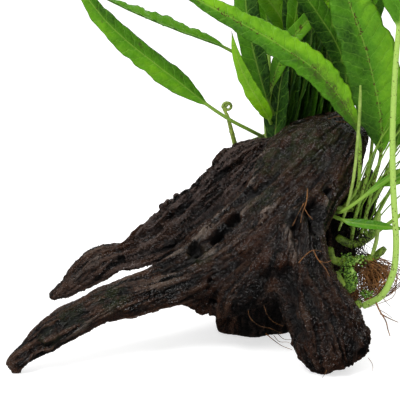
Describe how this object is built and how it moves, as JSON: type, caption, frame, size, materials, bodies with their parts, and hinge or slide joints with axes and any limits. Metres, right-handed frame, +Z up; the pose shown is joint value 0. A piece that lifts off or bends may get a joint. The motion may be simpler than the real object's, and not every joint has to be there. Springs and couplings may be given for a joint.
{
  "type": "java fern on driftwood",
  "caption": "Water fern with long wavy fronds growing from creeping rhizomes on a dark, forked piece of driftwood that stands on its sawn foot, its roots and one arm.",
  "frame": {"origin": "middle of the trunk's sawn foot, on the surface the wood stands on", "axes": "+Z up, +X towards the end with the rhizomes, -Y towards the front, where the longer forked arm and the heavy foot reach out"},
  "size_m": [0.2855, 0.2274, 0.2842],
  "materials": {
    "wet_driftwood": "gloss",
    "fern_leaf": "satin",
    "green_stalk": "satin",
    "rhizome_skin": "satin",
    "root_fibre": "matte",
    "moss": "matte"
  },
  "bodies": {
    "root": {"cut_stalk": "green_stalk", "driftwood_back_arm": "wet_driftwood", "driftwood_front_arm": "wet_driftwood", "driftwood_front_foot": "wet_driftwood", "driftwood_trunk": "wet_driftwood", "fiddlehead": "green_stalk", "frond_back_1": "fern_leaf", "frond_back_10": "fern_leaf", "frond_back_2": "fern_leaf", "frond_back_3": "fern_leaf", "frond_back_4": "fern_leaf", "frond_back_5": "fern_leaf", "frond_back_6": "fern_leaf", "frond_back_7": "fern_leaf", "frond_back_8": "fern_leaf", "frond_back_9": "fern_leaf", "frond_behind_left": "fern_leaf", "frond_broad_right": "fern_leaf", "frond_brown_tip": "fern_leaf", "frond_crossing": "fern_leaf", "frond_curved_stalk": "fern_leaf", "frond_dark_left": "fern_leaf", "frond_dark_right": "fern_leaf", "frond_edge_on": "fern_leaf", "frond_front_diagonal": "fern_leaf", "frond_inner_1": "fern_leaf", "frond_inner_2": "fern_leaf", "frond_inner_3": "fern_leaf", "frond_inner_4": "fern_leaf", "frond_inner_5": "fern_leaf", "frond_inner_6": "fern_leaf", "frond_inner_7": "fern_leaf", "frond_long_left": "fern_leaf", "frond_midrib": "fern_leaf", "frond_plantlet_broad": "fern_leaf", "frond_plantlet_level": "fern_leaf", "frond_plantlet_rising": "fern_leaf", "frond_right_1": "fern_leaf", "frond_right_2": "fern_leaf", "frond_right_3": "fern_leaf", "frond_side_leaning": "fern_leaf", "frond_side_outward": "fern_leaf", "frond_side_winged": "fern_leaf", "frond_thick_stalk": "fern_leaf", "moss_tuft": "moss", "rhizome_crest": "rhizome_skin", "rhizome_heel": "rhizome_skin", "rhizome_lower": "rhizome_skin", "rhizome_side": "rhizome_skin", "rhizome_tip": "rhizome_skin", "rhizome_upper": "rhizome_skin", "root_bundle": "root_fibre", "root_mat": "root_fibre", "young_shoot": "green_stalk"}
  },
  "joints": []
}
